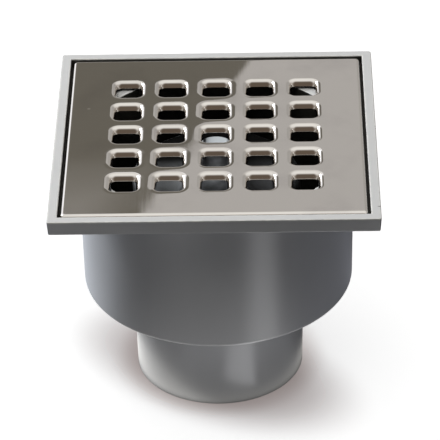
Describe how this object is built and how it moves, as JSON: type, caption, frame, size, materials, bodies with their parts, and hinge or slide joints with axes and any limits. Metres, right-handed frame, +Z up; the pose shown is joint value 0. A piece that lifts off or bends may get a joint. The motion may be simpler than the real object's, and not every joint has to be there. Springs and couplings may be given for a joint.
{
  "type": "gully trap",
  "caption": "Square floor gully in grey plastic: a pressed steel grate over a round drum, with a lift-out bell that holds the water seal and a vertical socket outlet.",
  "frame": {"origin": "centre of the outlet's mouth, in the plane of its end face", "axes": "+Z up along the outlet's axis, towards the grate; X and Y along the sides of the square frame"},
  "size_m": [0.15, 0.15, 0.127],
  "materials": {
    "grey_plastic": "moulded grey PVC with a soft gloss",
    "polished_steel": "mirror polished stainless sheet",
    "bell_plastic": "moulded grey PVC with a soft gloss"
  },
  "bodies": {
    "root": {"gully_body": "grey_plastic", "grate": "polished_steel", "trap_bell": "bell_plastic"}
  },
  "joints": []
}
